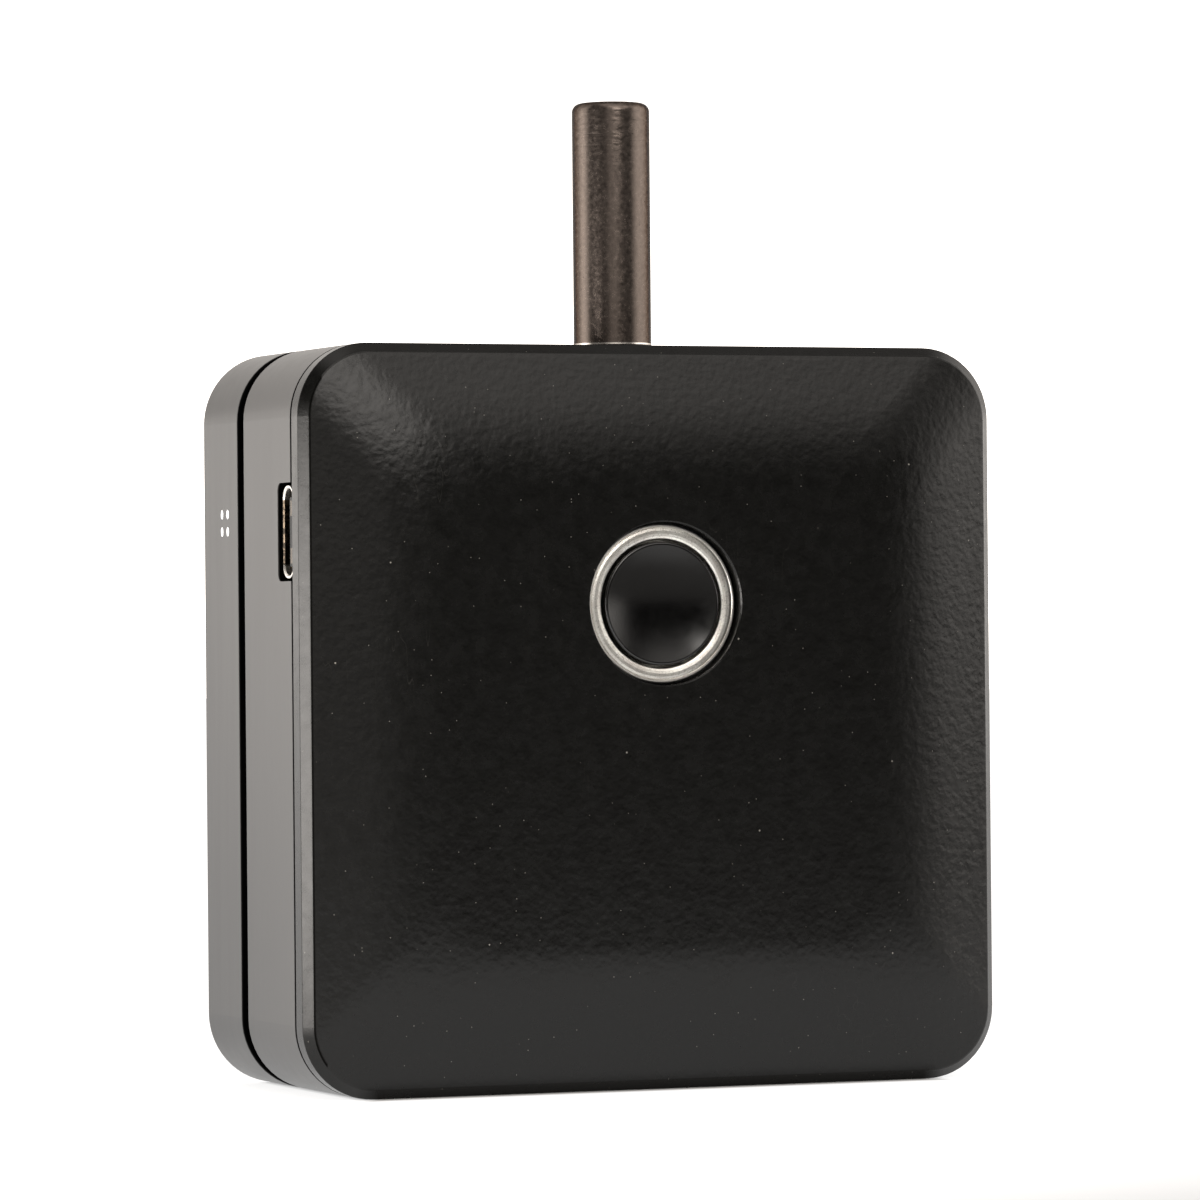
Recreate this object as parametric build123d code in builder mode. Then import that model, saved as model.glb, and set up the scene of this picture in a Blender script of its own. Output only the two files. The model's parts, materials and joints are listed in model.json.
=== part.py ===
from build123d import *
import os

os.makedirs("parts", exist_ok=True)

# Logic analyzer. Millimetres, +Z up, front face toward -Y, ports on the -X side.
# The origin is under the middle of the object, on the surface it stands on.

# Housing
WIDTH = 73.4
HEIGHT = 73.0
MID_Z = HEIGHT / 2     # height of the housing's centre
CORNER_R = 7.15        # outer corner radius
WALL = 3.0             # side wall thickness
INNER_W = WIDTH - 2 * WALL
INNER_H = HEIGHT - 2 * WALL
INNER_R = CORNER_R - WALL
EDGE = 0.92            # chamfer round the front and the back
Y_FACE = -16.33        # flat middle of the front face
Y_SKIRT = -12.63       # where the front chamfer starts
Y_SEAM = -10.83        # front cover meets middle frame
Y_FRAME_END = 3.37     # middle frame's rear rim
Y_REAR_START = 5.10    # rear shell's front rim
Y_FLOOR = 14.13        # inside of the rear shell's back wall
Y_BACK_EDGE = 15.41    # where the rear chamfer starts
Y_BACK = 16.33         # back face
LIP_R = 0.2            # rounded lips of the parting groove
SEAM_BREAK = 0.08      # broken edge of the front cover at the seam
SEAM_GAP = 0.3         # rabbet round the frame's front rim
SEAM_DEPTH = 0.6
ROUND_OUT = 0.12       # chamfer's edge on the side walls, rounded
ROUND_IN = 0.35        # chamfer's edge on the front and back faces, rounded
CROWN = Y_SKIRT - EDGE - Y_FACE
BEVEL = 4.5            # straight slope of the pillow face
BLEND = 9.0            # curved run from the slope into the flat middle
PILLOW_R = 6.23

# Screws that clamp the housing
POST = 29.4            # distance of the corner posts from the centre
POST_R = 4.6
SCREW_R = 1.25
SCREW_CLEAR_R = 1.45
HEAD_R = 2.3
HEAD_L = 1.6

# Button
BUTTON_Z = 47.6
HOLE_R = 8.0           # recess in the cover
RING_R = 7.78
RING_BORE_R = 6.35
BUSH_R = 6.95
Y_RING = -15.28        # ring's front
Y_LEDGE = -14.5        # ring's flange sits here
Y_GUIDE = -12.3        # front of the ring's guide floor
Y_GUIDE_END = -11.5
CAP_R = 6.05
Y_CAP = -15.40         # cap's rim
Y_CAP_BACK = -13.9
Y_STEM_END = -10.6
STEM_R = 2.0
DISH_R = 5.75
DISH_DEPTH = 0.7

# Board
Y_BOARD = -7.20        # board's front side
BOARD_T = 1.6
Y_BOARD_BACK = Y_BOARD + BOARD_T
BOARD_W = 65.4
LUG_X = 14.0
LUG_Z = 30.7
SOCKET_X = -17.0       # battery socket
SOCKET_Z = 12.0

# USB-C receptacle, long axis upright, opening toward -X
USB_Y = -8.83
USB_Z = 54.8
USB_LONG = 8.94
USB_THIN = 3.26
USB_X = -WIDTH / 2 + 0.33
USB_DEPTH = 7.4
TONGUE_TIP = 0.3       # tongue's tip, measured in from the mouth
TAB_L = 1.5            # ground plate's tabs at the tongue's tip
TAB_T = 0.5
TAB_PITCH = 4.6
TAB_DEPTH = 0.6

# Antenna
ANT_Y = -3.18
ANT_R = 3.87
ANT_TOP = 97.5
ANT_BASE = 73.35

# Light points on the -X wall
DOT_Y = 9.12
DOT_Z = 56.0
DOT_PITCH = 1.7
DOT_TALL = 0.46        # half the height of an oval point
DOT_WIDE = 0.34

# Battery
CELL_Y = 12.4          # cell's back
CELL_T = 6.0
CELL_Z = 38.0

# Probe header on the +X wall
PIN_PITCH = 2.0
PIN_COUNT = 8
HEADER_Y = Y_BOARD_BACK + 3.2
HEADER_L = 21.0
HEADER_T = 6.4
HEADER_X = WIDTH / 2 - 0.5

CORNERS = [(-POST, -POST), (POST, -POST), (POST, POST), (-POST, POST)]


def save(part, name, colour):
    part.label = name
    part.color = Color(*colour)
    export_step(part, "parts/" + name + ".step")


def face_at(y, z=MID_Z):
    """Upright plane that faces the front, with its origin on the middle line."""
    return Plane(origin=(0, y, z), x_dir=(1, 0, 0), z_dir=(0, -1, 0))


def side_at(x, y, z, sign):
    """Upright plane on a side wall: its x runs upward, its normal points outward."""
    return Plane(origin=(x, y, z), x_dir=(0, 0, 1), z_dir=(sign, 0, 0))


def level_edges(piece, y):
    """Edges of a piece that lie in one upright plane."""
    boxes = [(edge, edge.bounding_box()) for edge in piece.edges()]
    return [edge for edge, box in boxes if abs(box.min.Y - y) < 0.001 and abs(box.max.Y - y) < 0.001]


# ---------------------------------------------------------------- front cover
def pillow_inset(step):
    """Inset and rise of the face at a given run in from the chamfer."""
    slope = CROWN / (BEVEL + BLEND / 2)
    if step <= BEVEL:
        return slope * step
    run = step - BEVEL
    return slope * (BEVEL + run - run * run / (2 * BLEND))


with BuildPart() as front_cover:
    with BuildSketch(face_at(Y_SEAM)):
        RectangleRounded(WIDTH, HEIGHT, CORNER_R)
    extrude(amount=Y_SEAM - Y_SKIRT)
    chamfer(front_cover.faces().sort_by(Axis.Y)[-1].edges(), SEAM_BREAK)
    with BuildSketch(face_at(Y_SKIRT)):
        RectangleRounded(WIDTH, HEIGHT, CORNER_R)
    with BuildSketch(face_at(Y_SKIRT - EDGE)):
        RectangleRounded(WIDTH - 2 * EDGE, HEIGHT - 2 * EDGE, CORNER_R - EDGE)
    loft(ruled=True)
    for run in (0.0, BEVEL / 2, BEVEL, BEVEL + BLEND / 4, BEVEL + BLEND / 2,
                BEVEL + 3 * BLEND / 4, BEVEL + BLEND):
        inset = 2 * (EDGE + run)
        with BuildSketch(face_at(Y_SKIRT - EDGE - pillow_inset(run))):
            RectangleRounded(WIDTH - inset, HEIGHT - inset, PILLOW_R)
    loft()
    fillet(level_edges(front_cover, Y_SKIRT), ROUND_OUT)
    fillet(level_edges(front_cover, Y_SKIRT - EDGE), ROUND_IN)
    # Hollow, in three steps that follow the pillow
    for y_floor, inset, radius in ((-12.1, 0.0, INNER_R), (-13.5, 13.0, 3.0), (-14.3, 21.0, 3.0)):
        with BuildSketch(face_at(Y_SEAM)):
            RectangleRounded(INNER_W - inset, INNER_H - inset, radius)
        extrude(amount=Y_SEAM - y_floor, mode=Mode.SUBTRACT)
    # Thicker wall round the button
    with BuildSketch(face_at(-13.4, BUTTON_Z)):
        Circle(11.0)
    extrude(amount=1.5)
    # Corner posts with tapped holes
    with BuildSketch(face_at(Y_SEAM)):
        with Locations(*CORNERS):
            Circle(POST_R)
    extrude(amount=2.6)
    with BuildSketch(face_at(Y_SEAM)):
        with Locations(*CORNERS):
            Circle(SCREW_R)
    extrude(amount=3.4, mode=Mode.SUBTRACT)
    # Locating lip inside the middle frame
    with BuildSketch(face_at(Y_SEAM + 1.2)):
        with GridLocations(0, INNER_H - 1.5, 1, 2):
            Rectangle(44, 1.1)
        with Locations((INNER_W / 2 - 0.75, 0)):
            Rectangle(1.1, 44)
        with Locations((0.75 - INNER_W / 2, -6)):
            Rectangle(1.1, 32)
    extrude(amount=2.6)
    # Stepped hole for the button ring
    with BuildSketch(face_at(Y_LEDGE, BUTTON_Z)):
        Circle(HOLE_R)
    extrude(amount=4, mode=Mode.SUBTRACT)
    edge = front_cover.edges().filter_by(GeomType.CIRCLE).sort_by(Axis.Y)
    chamfer([e for e in edge if abs(e.radius - HOLE_R) < 0.01 and e.center().Y < Y_FACE + 0.1], 0.12)
    with BuildSketch(face_at(Y_FACE - 0.1, BUTTON_Z)):
        Circle(BUSH_R + 0.1)
    extrude(amount=-6, mode=Mode.SUBTRACT)
save(front_cover.part, "front_cover", (0.10, 0.10, 0.10))


# --------------------------------------------------------------- middle frame
with BuildPart() as mid_frame:
    with BuildSketch(face_at(Y_FRAME_END)):
        RectangleRounded(WIDTH, HEIGHT, CORNER_R)
    extrude(amount=Y_FRAME_END - Y_SEAM)
    fillet(mid_frame.faces().sort_by(Axis.Y)[-1].edges(), LIP_R)
    # Rabbet that shows as a dark line beside the front cover
    with BuildSketch(face_at(Y_SEAM)):
        RectangleRounded(WIDTH + 2, HEIGHT + 2, CORNER_R)
        RectangleRounded(WIDTH - 2 * SEAM_DEPTH, HEIGHT - 2 * SEAM_DEPTH, CORNER_R - SEAM_DEPTH,
                         mode=Mode.SUBTRACT)
    extrude(amount=-SEAM_GAP, mode=Mode.SUBTRACT)
    with BuildSketch(face_at(Y_FRAME_END)):
        RectangleRounded(INNER_W, INNER_H, INNER_R)
    extrude(amount=Y_FRAME_END - Y_SEAM, mode=Mode.SUBTRACT)
    with BuildSketch(face_at(Y_FRAME_END)):
        with Locations(*CORNERS):
            Circle(POST_R)
    extrude(amount=Y_FRAME_END - Y_SEAM)
    with BuildSketch(face_at(Y_FRAME_END)):
        with Locations(*CORNERS):
            Circle(SCREW_CLEAR_R)
    extrude(amount=Y_FRAME_END - Y_SEAM, mode=Mode.SUBTRACT)
    # Lugs behind the board
    with BuildSketch(face_at(Y_BOARD_BACK + 4.4)):
        with GridLocations(2 * LUG_X, 2 * LUG_Z, 2, 2):
            Circle(3.1)
    extrude(amount=4.4)
    with BuildSketch(face_at(Y_BOARD_BACK)):
        with GridLocations(2 * LUG_X, 2 * LUG_Z, 2, 2):
            Circle(0.85)
    extrude(amount=-3.4, mode=Mode.SUBTRACT)
    # USB-C opening, open toward the seam
    with BuildSketch(side_at(-WIDTH / 2 - 1, Y_SEAM + 1.05, USB_Z, 1)):
        RectangleRounded(USB_LONG + 0.6, 6.1, 0.8)
    extrude(amount=WALL + 2, mode=Mode.SUBTRACT)
    # Probe header opening
    with BuildSketch(side_at(WIDTH / 2 + 1, HEADER_Y, MID_Z, -1)):
        RectangleRounded(HEADER_L + 0.6, HEADER_T + 0.6, 0.6)
    extrude(amount=WALL + 2, mode=Mode.SUBTRACT)
    # Antenna socket hole in the top wall
    with BuildSketch(Plane.XY.offset(HEIGHT - WALL - 1)):
        with Locations((0, ANT_Y)):
            Circle(3.25)
    extrude(amount=WALL + 2, mode=Mode.SUBTRACT)
save(mid_frame.part, "mid_frame", (0.10, 0.10, 0.10))


# ----------------------------------------------------------------- rear shell
with BuildPart() as rear_shell:
    with BuildSketch(face_at(Y_BACK_EDGE)):
        RectangleRounded(WIDTH, HEIGHT, CORNER_R)
    extrude(amount=Y_BACK_EDGE - Y_REAR_START)
    fillet(rear_shell.faces().sort_by(Axis.Y)[0].edges(), LIP_R)
    with BuildSketch(face_at(Y_BACK_EDGE)):
        RectangleRounded(WIDTH, HEIGHT, CORNER_R)
    with BuildSketch(face_at(Y_BACK)):
        RectangleRounded(WIDTH - 2 * EDGE, HEIGHT - 2 * EDGE, CORNER_R - EDGE)
    loft(ruled=True)
    fillet(level_edges(rear_shell, Y_BACK_EDGE), ROUND_OUT)
    fillet(level_edges(rear_shell, Y_BACK), ROUND_IN)
    with BuildSketch(face_at(Y_REAR_START)):
        RectangleRounded(INNER_W, INNER_H, INNER_R)
    extrude(amount=-(Y_FLOOR - Y_REAR_START), mode=Mode.SUBTRACT)
    # Corner posts and the spigots that reach the middle frame
    with BuildSketch(face_at(Y_REAR_START)):
        with Locations(*CORNERS):
            Circle(POST_R)
    extrude(amount=-(Y_FLOOR + 0.3 - Y_REAR_START))
    with BuildSketch(face_at(Y_FRAME_END)):
        with Locations(*CORNERS):
            Circle(3.4)
    extrude(amount=-2.5)
    with BuildSketch(face_at(Y_FRAME_END)):
        with Locations(*CORNERS):
            Circle(SCREW_CLEAR_R)
    extrude(amount=-(Y_BACK - Y_FRAME_END), mode=Mode.SUBTRACT)
    with BuildSketch(face_at(Y_BACK)):
        with Locations(*CORNERS):
            Circle(HEAD_R + 0.25)
    extrude(amount=HEAD_L + 0.3, mode=Mode.SUBTRACT)
    # Ribs above and below the light board
    with BuildSketch(side_at(-WIDTH / 2 + WALL - 0.5, DOT_Y + 2.3, DOT_Z, 1)):
        with Locations((-5.1, 0)):
            Rectangle(1.2, 6.4)
        with Locations((5.0, 0)):
            Rectangle(1.0, 6.4)
    extrude(amount=4.1)
    # Holes for the light pipes
    with BuildSketch(side_at(-WIDTH / 2 - 1, DOT_Y, DOT_Z, 1)):
        with GridLocations(DOT_PITCH, DOT_PITCH, 2, 2):
            Ellipse(DOT_TALL + 0.02, DOT_WIDE + 0.02)
    extrude(amount=WALL + 2, mode=Mode.SUBTRACT)
save(rear_shell.part, "rear_shell", (0.10, 0.10, 0.10))


# ------------------------------------------------------------- parting gasket
with BuildPart() as parting_gasket:
    with BuildSketch(face_at(Y_REAR_START)):
        RectangleRounded(WIDTH - 4.0, HEIGHT - 4.0, CORNER_R - 2.0)
        RectangleRounded(INNER_W, INNER_H, INNER_R, mode=Mode.SUBTRACT)
    extrude(amount=Y_REAR_START - Y_FRAME_END)
save(parting_gasket.part, "parting_gasket", (0.02, 0.02, 0.02))


# ---------------------------------------------------------------- case screws
with BuildPart() as case_screws:
    with BuildSketch(face_at(Y_BACK - 0.3)):
        with Locations(*CORNERS):
            Circle(HEAD_R)
    extrude(amount=HEAD_L)
    with BuildSketch(face_at(Y_BACK - 0.3 - HEAD_L)):
        with Locations(*CORNERS):
            Circle(SCREW_R)
    extrude(amount=Y_BACK - 0.3 - HEAD_L + 13.8)
    with BuildSketch(face_at(Y_BACK - 0.3)):
        with Locations(*CORNERS):
            RegularPolygon(0.87, 6)
    extrude(amount=1.0, mode=Mode.SUBTRACT)
save(case_screws.part, "case_screws", (0.12, 0.12, 0.13))


# --------------------------------------------------------------------- button
def turned(name, profile, colour, y_axis_z=BUTTON_Z):
    """Round piece about the button's axis, from (radius, y) points."""
    with BuildPart() as piece:
        with BuildSketch(Plane(origin=(0, 0, y_axis_z), x_dir=(1, 0, 0), z_dir=(0, 0, 1))):
            with BuildLine():
                Polyline(*profile, close=True)
            make_face()
        revolve(axis=Axis((0, 0, y_axis_z), (0, 1, 0)))
    save(piece.part, name, colour)


turned("button_ring", [
    (RING_BORE_R + 0.05, Y_RING + 0.16), (RING_BORE_R + 0.25, Y_RING + 0.05),
    (RING_BORE_R + 0.50, Y_RING), (RING_R - 0.62, Y_RING), (RING_R - 0.38, Y_RING + 0.05),
    (RING_R - 0.33, Y_RING + 0.12), (RING_R - 0.27, Y_RING + 0.05), (RING_R - 0.12, Y_RING + 0.05),
    (RING_R, Y_RING + 0.17),
    (RING_R, Y_LEDGE), (BUSH_R, Y_LEDGE), (BUSH_R, Y_GUIDE_END), (STEM_R + 0.05, Y_GUIDE_END),
    (STEM_R + 0.05, Y_GUIDE), (RING_BORE_R, Y_GUIDE), (RING_BORE_R, Y_RING + 0.25),
], (0.75, 0.73, 0.70))

with BuildPart() as ring_nut:
    with BuildSketch(face_at(-11.9, BUTTON_Z)):
        RegularPolygon(9.2, 6)
        Circle(BUSH_R + 0.02, mode=Mode.SUBTRACT)
    extrude(amount=1.5)
save(ring_nut.part, "ring_nut", (0.72, 0.62, 0.35))

DISH_SPHERE = (DISH_R * DISH_R + DISH_DEPTH * DISH_DEPTH) / (2 * DISH_DEPTH)
with BuildPart() as button_cap:
    with BuildSketch(face_at(Y_CAP_BACK, BUTTON_Z)):
        Circle(CAP_R)
    extrude(amount=Y_CAP_BACK - Y_CAP)
    fillet(button_cap.faces().sort_by(Axis.Y)[0].edges(), 0.22)
    with Locations((0, Y_CAP + DISH_DEPTH - DISH_SPHERE, BUTTON_Z)):
        Sphere(DISH_SPHERE, mode=Mode.SUBTRACT)
    with BuildSketch(face_at(Y_STEM_END, BUTTON_Z)):
        Circle(STEM_R)
    extrude(amount=Y_STEM_END - Y_CAP_BACK + 0.1)
    with BuildSketch(face_at(Y_STEM_END - 0.2, BUTTON_Z)):
        Circle(STEM_R)
        Circle(STEM_R - 0.4, mode=Mode.SUBTRACT)
    extrude(amount=0.4, mode=Mode.SUBTRACT)
save(button_cap.part, "button_cap", (0.03, 0.03, 0.03))

with BuildPart() as button_clip:
    with BuildSketch(face_at(Y_STEM_END - 0.2, BUTTON_Z)):
        Circle(3.4)
        Circle(STEM_R - 0.4, mode=Mode.SUBTRACT)
        with Locations((0, -3)):
            Rectangle(2.4, 6, mode=Mode.SUBTRACT)
    extrude(amount=0.4)
save(button_clip.part, "button_clip", (0.55, 0.55, 0.57))


def coil(radius, wire_r, pitch, height, origin, direction):
    """Helical wire with its axis on a given line."""
    with BuildPart() as wire:
        with BuildLine():
            path = Helix(pitch, height, radius, center=origin, direction=direction)
        with BuildSketch(Plane(origin=path @ 0, z_dir=path % 0)):
            Circle(wire_r)
        sweep(path=path, is_frenet=True)
    return wire.part


SPRING_R = 3.6
SPRING_WIRE = 0.13
SPRING_L = Y_GUIDE - Y_CAP_BACK - 2 * SPRING_WIRE - 0.04
save(coil(SPRING_R, SPRING_WIRE, 0.6, SPRING_L, (0, Y_CAP_BACK + SPRING_WIRE + 0.02, BUTTON_Z), (0, 1, 0)),
     "button_spring", (0.6, 0.6, 0.62))

with BuildPart() as switch_housing:
    with BuildSketch(face_at(Y_BOARD, BUTTON_Z)):
        Rectangle(6.2, 6.2)
    extrude(amount=2.6)
    fillet(switch_housing.edges().filter_by(Axis.Y), 0.4)
    with BuildSketch(face_at(Y_BOARD - 2.6, BUTTON_Z)):
        Circle(1.65)
    extrude(amount=-2.0, mode=Mode.SUBTRACT)
save(switch_housing.part, "switch_housing", (0.10, 0.10, 0.10))

with BuildPart() as switch_plunger:
    with BuildSketch(face_at(Y_STEM_END + 1.9, BUTTON_Z)):
        Circle(1.6)
    extrude(amount=1.9)
save(switch_plunger.part, "switch_plunger", (0.7, 0.68, 0.6))


# ---------------------------------------------------------------------- USB-C
with BuildPart() as usb_shell:
    with BuildSketch(side_at(USB_X, USB_Y, USB_Z, 1)):
        RectangleRounded(USB_LONG, USB_THIN, 1.5)
    extrude(amount=USB_DEPTH)
    with BuildSketch(side_at(USB_X, USB_Y, USB_Z, 1)):
        RectangleRounded(USB_LONG - 0.6, USB_THIN - 0.6, 1.2)
    extrude(amount=USB_DEPTH - 0.3, mode=Mode.SUBTRACT)
    chamfer(usb_shell.faces().sort_by(Axis.X)[0].inner_wires()[0].edges(), 0.12)
save(usb_shell.part, "usb_shell", (0.8, 0.8, 0.8))

with BuildPart() as usb_tongue:
    with BuildSketch(side_at(USB_X + TONGUE_TIP, USB_Y, USB_Z, 1)):
        RectangleRounded(6.7, 0.7, 0.2)
    extrude(amount=5.6 - TONGUE_TIP)
    with BuildSketch(side_at(USB_X + USB_DEPTH - 1.9, USB_Y, USB_Z, 1)):
        RectangleRounded(USB_LONG - 0.7, USB_THIN - 0.7, 1.1)
    extrude(amount=1.55)
    with BuildSketch(side_at(USB_X + 1.0, USB_Y, USB_Z, 1)):
        with Locations((0, 0.3), (0, -0.3)):
            with GridLocations(0.5, 0, 12, 1):
                Rectangle(0.26, 0.11)
    extrude(amount=3.5, mode=Mode.SUBTRACT)
    # Pockets for the ground plate
    with BuildSketch(side_at(USB_X + TONGUE_TIP - 0.1, USB_Y, USB_Z, 1)):
        with GridLocations(TAB_PITCH, 0, 2, 1):
            Rectangle(TAB_L, TAB_T)
    extrude(amount=TAB_DEPTH + 0.1, mode=Mode.SUBTRACT)
    with BuildSketch(side_at(USB_X + TONGUE_TIP + 0.4, USB_Y, USB_Z, 1)):
        Rectangle(5.6, 0.14)
    extrude(amount=4.0, mode=Mode.SUBTRACT)
save(usb_tongue.part, "usb_tongue", (0.05, 0.05, 0.05))

with BuildPart() as usb_ground_plate:
    with BuildSketch(side_at(USB_X + TONGUE_TIP, USB_Y, USB_Z, 1)):
        with GridLocations(TAB_PITCH, 0, 2, 1):
            Rectangle(TAB_L, TAB_T)
    extrude(amount=TAB_DEPTH)
    with BuildSketch(side_at(USB_X + TONGUE_TIP + 0.4, USB_Y, USB_Z, 1)):
        Rectangle(5.6, 0.14)
    extrude(amount=4.0)
save(usb_ground_plate.part, "usb_ground_plate", (0.75, 0.75, 0.75))

with BuildPart() as usb_contacts:
    with BuildSketch(side_at(USB_X + 1.0, USB_Y, USB_Z, 1)):
        with Locations((0, 0.305), (0, -0.305)):
            with GridLocations(0.5, 0, 12, 1):
                Rectangle(0.26, 0.1)
    extrude(amount=3.5)
save(usb_contacts.part, "usb_contacts", (0.75, 0.6, 0.3))


# -------------------------------------------------------------------- antenna
def upright(z):
    """Level plane on the antenna's axis."""
    return Plane(origin=(0, ANT_Y, z), x_dir=(1, 0, 0), z_dir=(0, 0, 1))


with BuildPart() as antenna_socket:
    with BuildSketch(upright(66.0)):
        Circle(2.4)
    extrude(amount=3.5)
    with BuildSketch(upright(69.0)):
        Circle(4.2)
    extrude(amount=1.0)
    with BuildSketch(upright(70.0)):
        Circle(3.2)
    extrude(amount=3.0)
    with BuildSketch(upright(68.0)):
        Circle(1.55)
    extrude(amount=5.1, mode=Mode.SUBTRACT)
save(antenna_socket.part, "antenna_socket", (0.72, 0.62, 0.35))

with BuildPart() as antenna_stud:
    with BuildSketch(upright(68.4)):
        Circle(1.5)
    extrude(amount=10.4)
    with BuildSketch(upright(73.4)):
        Circle(2.95)
    extrude(amount=2.4)
save(antenna_stud.part, "antenna_stud", (0.72, 0.62, 0.35))

with BuildPart() as antenna_seal:
    with BuildSketch(upright(73.0)):
        Circle(3.5)
        Circle(2.0, mode=Mode.SUBTRACT)
    extrude(amount=0.35)
save(antenna_seal.part, "antenna_seal", (0.03, 0.03, 0.03))

with BuildPart() as antenna_sleeve:
    with BuildSketch(upright(ANT_BASE)):
        Circle(ANT_R)
    extrude(amount=ANT_TOP - ANT_BASE)
    fillet(antenna_sleeve.faces().sort_by(Axis.Z)[-1].edges(), 0.88)
    chamfer(antenna_sleeve.faces().sort_by(Axis.Z)[0].edges(), 0.05)
    with BuildSketch(upright(ANT_BASE)):
        Circle(3.0)
    extrude(amount=22.9, mode=Mode.SUBTRACT)
save(antenna_sleeve.part, "antenna_sleeve", (0.30, 0.28, 0.26))

with BuildPart() as antenna_former:
    with BuildSketch(upright(75.8)):
        Circle(1.9)
    extrude(amount=19.6)
    with BuildSketch(upright(75.8)):
        Circle(1.52)
    extrude(amount=3.1, mode=Mode.SUBTRACT)
save(antenna_former.part, "antenna_former", (0.9, 0.9, 0.88))

save(coil(2.15, 0.2, 1.6, 16.0, (0, ANT_Y, 77.2), (0, 0, 1)),
     "antenna_coil", (0.72, 0.45, 0.25))

with BuildPart() as coax_lead:
    with BuildLine() as coax_path:
        Spline((0, ANT_Y, 66.0), (3.2, -1.6, 63.0), (7.4, -2.6, 61.2), (8.7, -4.93, 57.95),
               tangents=[(0, 0, -1), (0, 0, -1)])
    with BuildSketch(Plane(origin=(0, ANT_Y, 66.0), z_dir=(0, 0, -1))):
        Circle(0.55)
    sweep()
save(coax_lead.part, "coax_lead", (0.1, 0.1, 0.1))

with BuildPart() as coax_plug:
    with BuildSketch(face_at(Y_BOARD_BACK + 1.35, 56.6)):
        with Locations((8.7, 0)):
            Circle(1.3)
    extrude(amount=1.35)
save(coax_plug.part, "coax_plug", (0.78, 0.66, 0.35))


# ---------------------------------------------------------------- main board
with BuildPart() as main_board:
    with BuildSketch(face_at(Y_BOARD_BACK)):
        RectangleRounded(BOARD_W, BOARD_W, 2.0)
        with Locations(*CORNERS):
            Circle(POST_R + 0.6, mode=Mode.SUBTRACT)
        for cx, cz in CORNERS:
            with Locations((cx * 1.09, cz * 1.09)):
                Rectangle(4.6, 4.6, mode=Mode.SUBTRACT)
        with GridLocations(2 * LUG_X, 2 * LUG_Z, 2, 2):
            Circle(1.0, mode=Mode.SUBTRACT)
        with Locations((0, 31.0)):
            Rectangle(10.0, 4.2, mode=Mode.SUBTRACT)
    extrude(amount=BOARD_T)
save(main_board.part, "main_board", (0.02, 0.16, 0.10))

with BuildPart() as board_screws:
    with BuildSketch(face_at(Y_BOARD)):
        with GridLocations(2 * LUG_X, 2 * LUG_Z, 2, 2):
            Circle(1.7)
    extrude(amount=1.2)
    with BuildSketch(face_at(Y_BOARD)):
        with GridLocations(2 * LUG_X, 2 * LUG_Z, 2, 2):
            Circle(0.8)
    extrude(amount=-4.6)
    with BuildSketch(face_at(Y_BOARD - 1.2)):
        with GridLocations(2 * LUG_X, 2 * LUG_Z, 2, 2):
            Rectangle(1.6, 0.35)
            Rectangle(0.35, 1.6)
    extrude(amount=-0.6, mode=Mode.SUBTRACT)
save(board_screws.part, "board_screws", (0.7, 0.7, 0.72))


def chips(name, places, colour, on_back=True, round_edge=0.12):
    """Boxes on the board: each place is (x, z, width, height, thickness)."""
    y = Y_BOARD_BACK if on_back else Y_BOARD
    with BuildPart() as group:
        for cx, cz, width, height, thick in places:
            with BuildSketch(face_at(y, cz)):
                with Locations((cx, 0)):
                    RectangleRounded(width, height, round_edge)
            extrude(amount=-thick if on_back else thick)
    save(group.part, name, colour)


chips("fpga_chip", [(0, 30, 14, 14, 1.4)], (0.06, 0.06, 0.06))
chips("processor_chip", [(-17, 42, 9, 9, 1.0)], (0.06, 0.06, 0.06))
chips("memory_chips", [(-17, 27, 8, 9, 1.1), (0, 15, 9, 8, 1.1)], (0.06, 0.06, 0.06))
chips("input_buffers", [(17, 28 + 6 * i, 6.4, 4.4, 1.1) for i in range(4)], (0.06, 0.06, 0.06))
chips("crystal", [(-5, 43, 3.2, 2.5, 0.8)], (0.75, 0.74, 0.7))
chips("radio_board", [(17, 57, 12, 11, 0.8)], (0.02, 0.16, 0.10))

with BuildPart() as radio_shield:
    with BuildSketch(face_at(Y_BOARD_BACK + 0.8, 57)):
        with Locations((17, 0)):
            RectangleRounded(10.4, 9.4, 0.6)
    extrude(amount=-1.6)
    with BuildSketch(face_at(Y_BOARD_BACK + 0.8, 57)):
        with Locations((17, 0)):
            RectangleRounded(10.0, 9.0, 0.4)
    extrude(amount=-1.4, mode=Mode.SUBTRACT)
save(radio_shield.part, "radio_shield", (0.75, 0.75, 0.74))

SMALL = [(-9.5 + 2.4 * i, 39.2, 1.6, 0.8, 0.8) for i in range(8)]
SMALL += [(-9.5, 24.5 + 2.2 * i, 0.8, 1.6, 0.8) for i in range(6)]
SMALL += [(9.5, 22.0 + 2.2 * i, 0.8, 1.6, 0.8) for i in range(7)]
SMALL += [(-7.0 + 2.6 * i, 9.0, 1.6, 0.8, 0.8) for i in range(6)]
SMALL += [(22.5, 27.0 + 3.0 * i, 1.6, 0.8, 0.8) for i in range(7)]
chips("passives", SMALL, (0.55, 0.5, 0.42), round_edge=0.05)


# -------------------------------------------------------------------- battery
with BuildPart() as battery:
    with BuildSketch(face_at(CELL_Y, CELL_Z)):
        RectangleRounded(44, 48, 1.5)
    extrude(amount=CELL_T)
    fillet(battery.edges().filter_by(Axis.Z) + battery.edges().filter_by(Axis.X), 1.2)
save(battery.part, "battery", (0.75, 0.75, 0.75))

with BuildPart() as battery_pad:
    with BuildSketch(face_at(Y_FLOOR, CELL_Z)):
        RectangleRounded(38, 42, 1.0)
    extrude(amount=Y_FLOOR - CELL_Y)
save(battery_pad.part, "battery_pad", (0.06, 0.06, 0.06))

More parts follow.
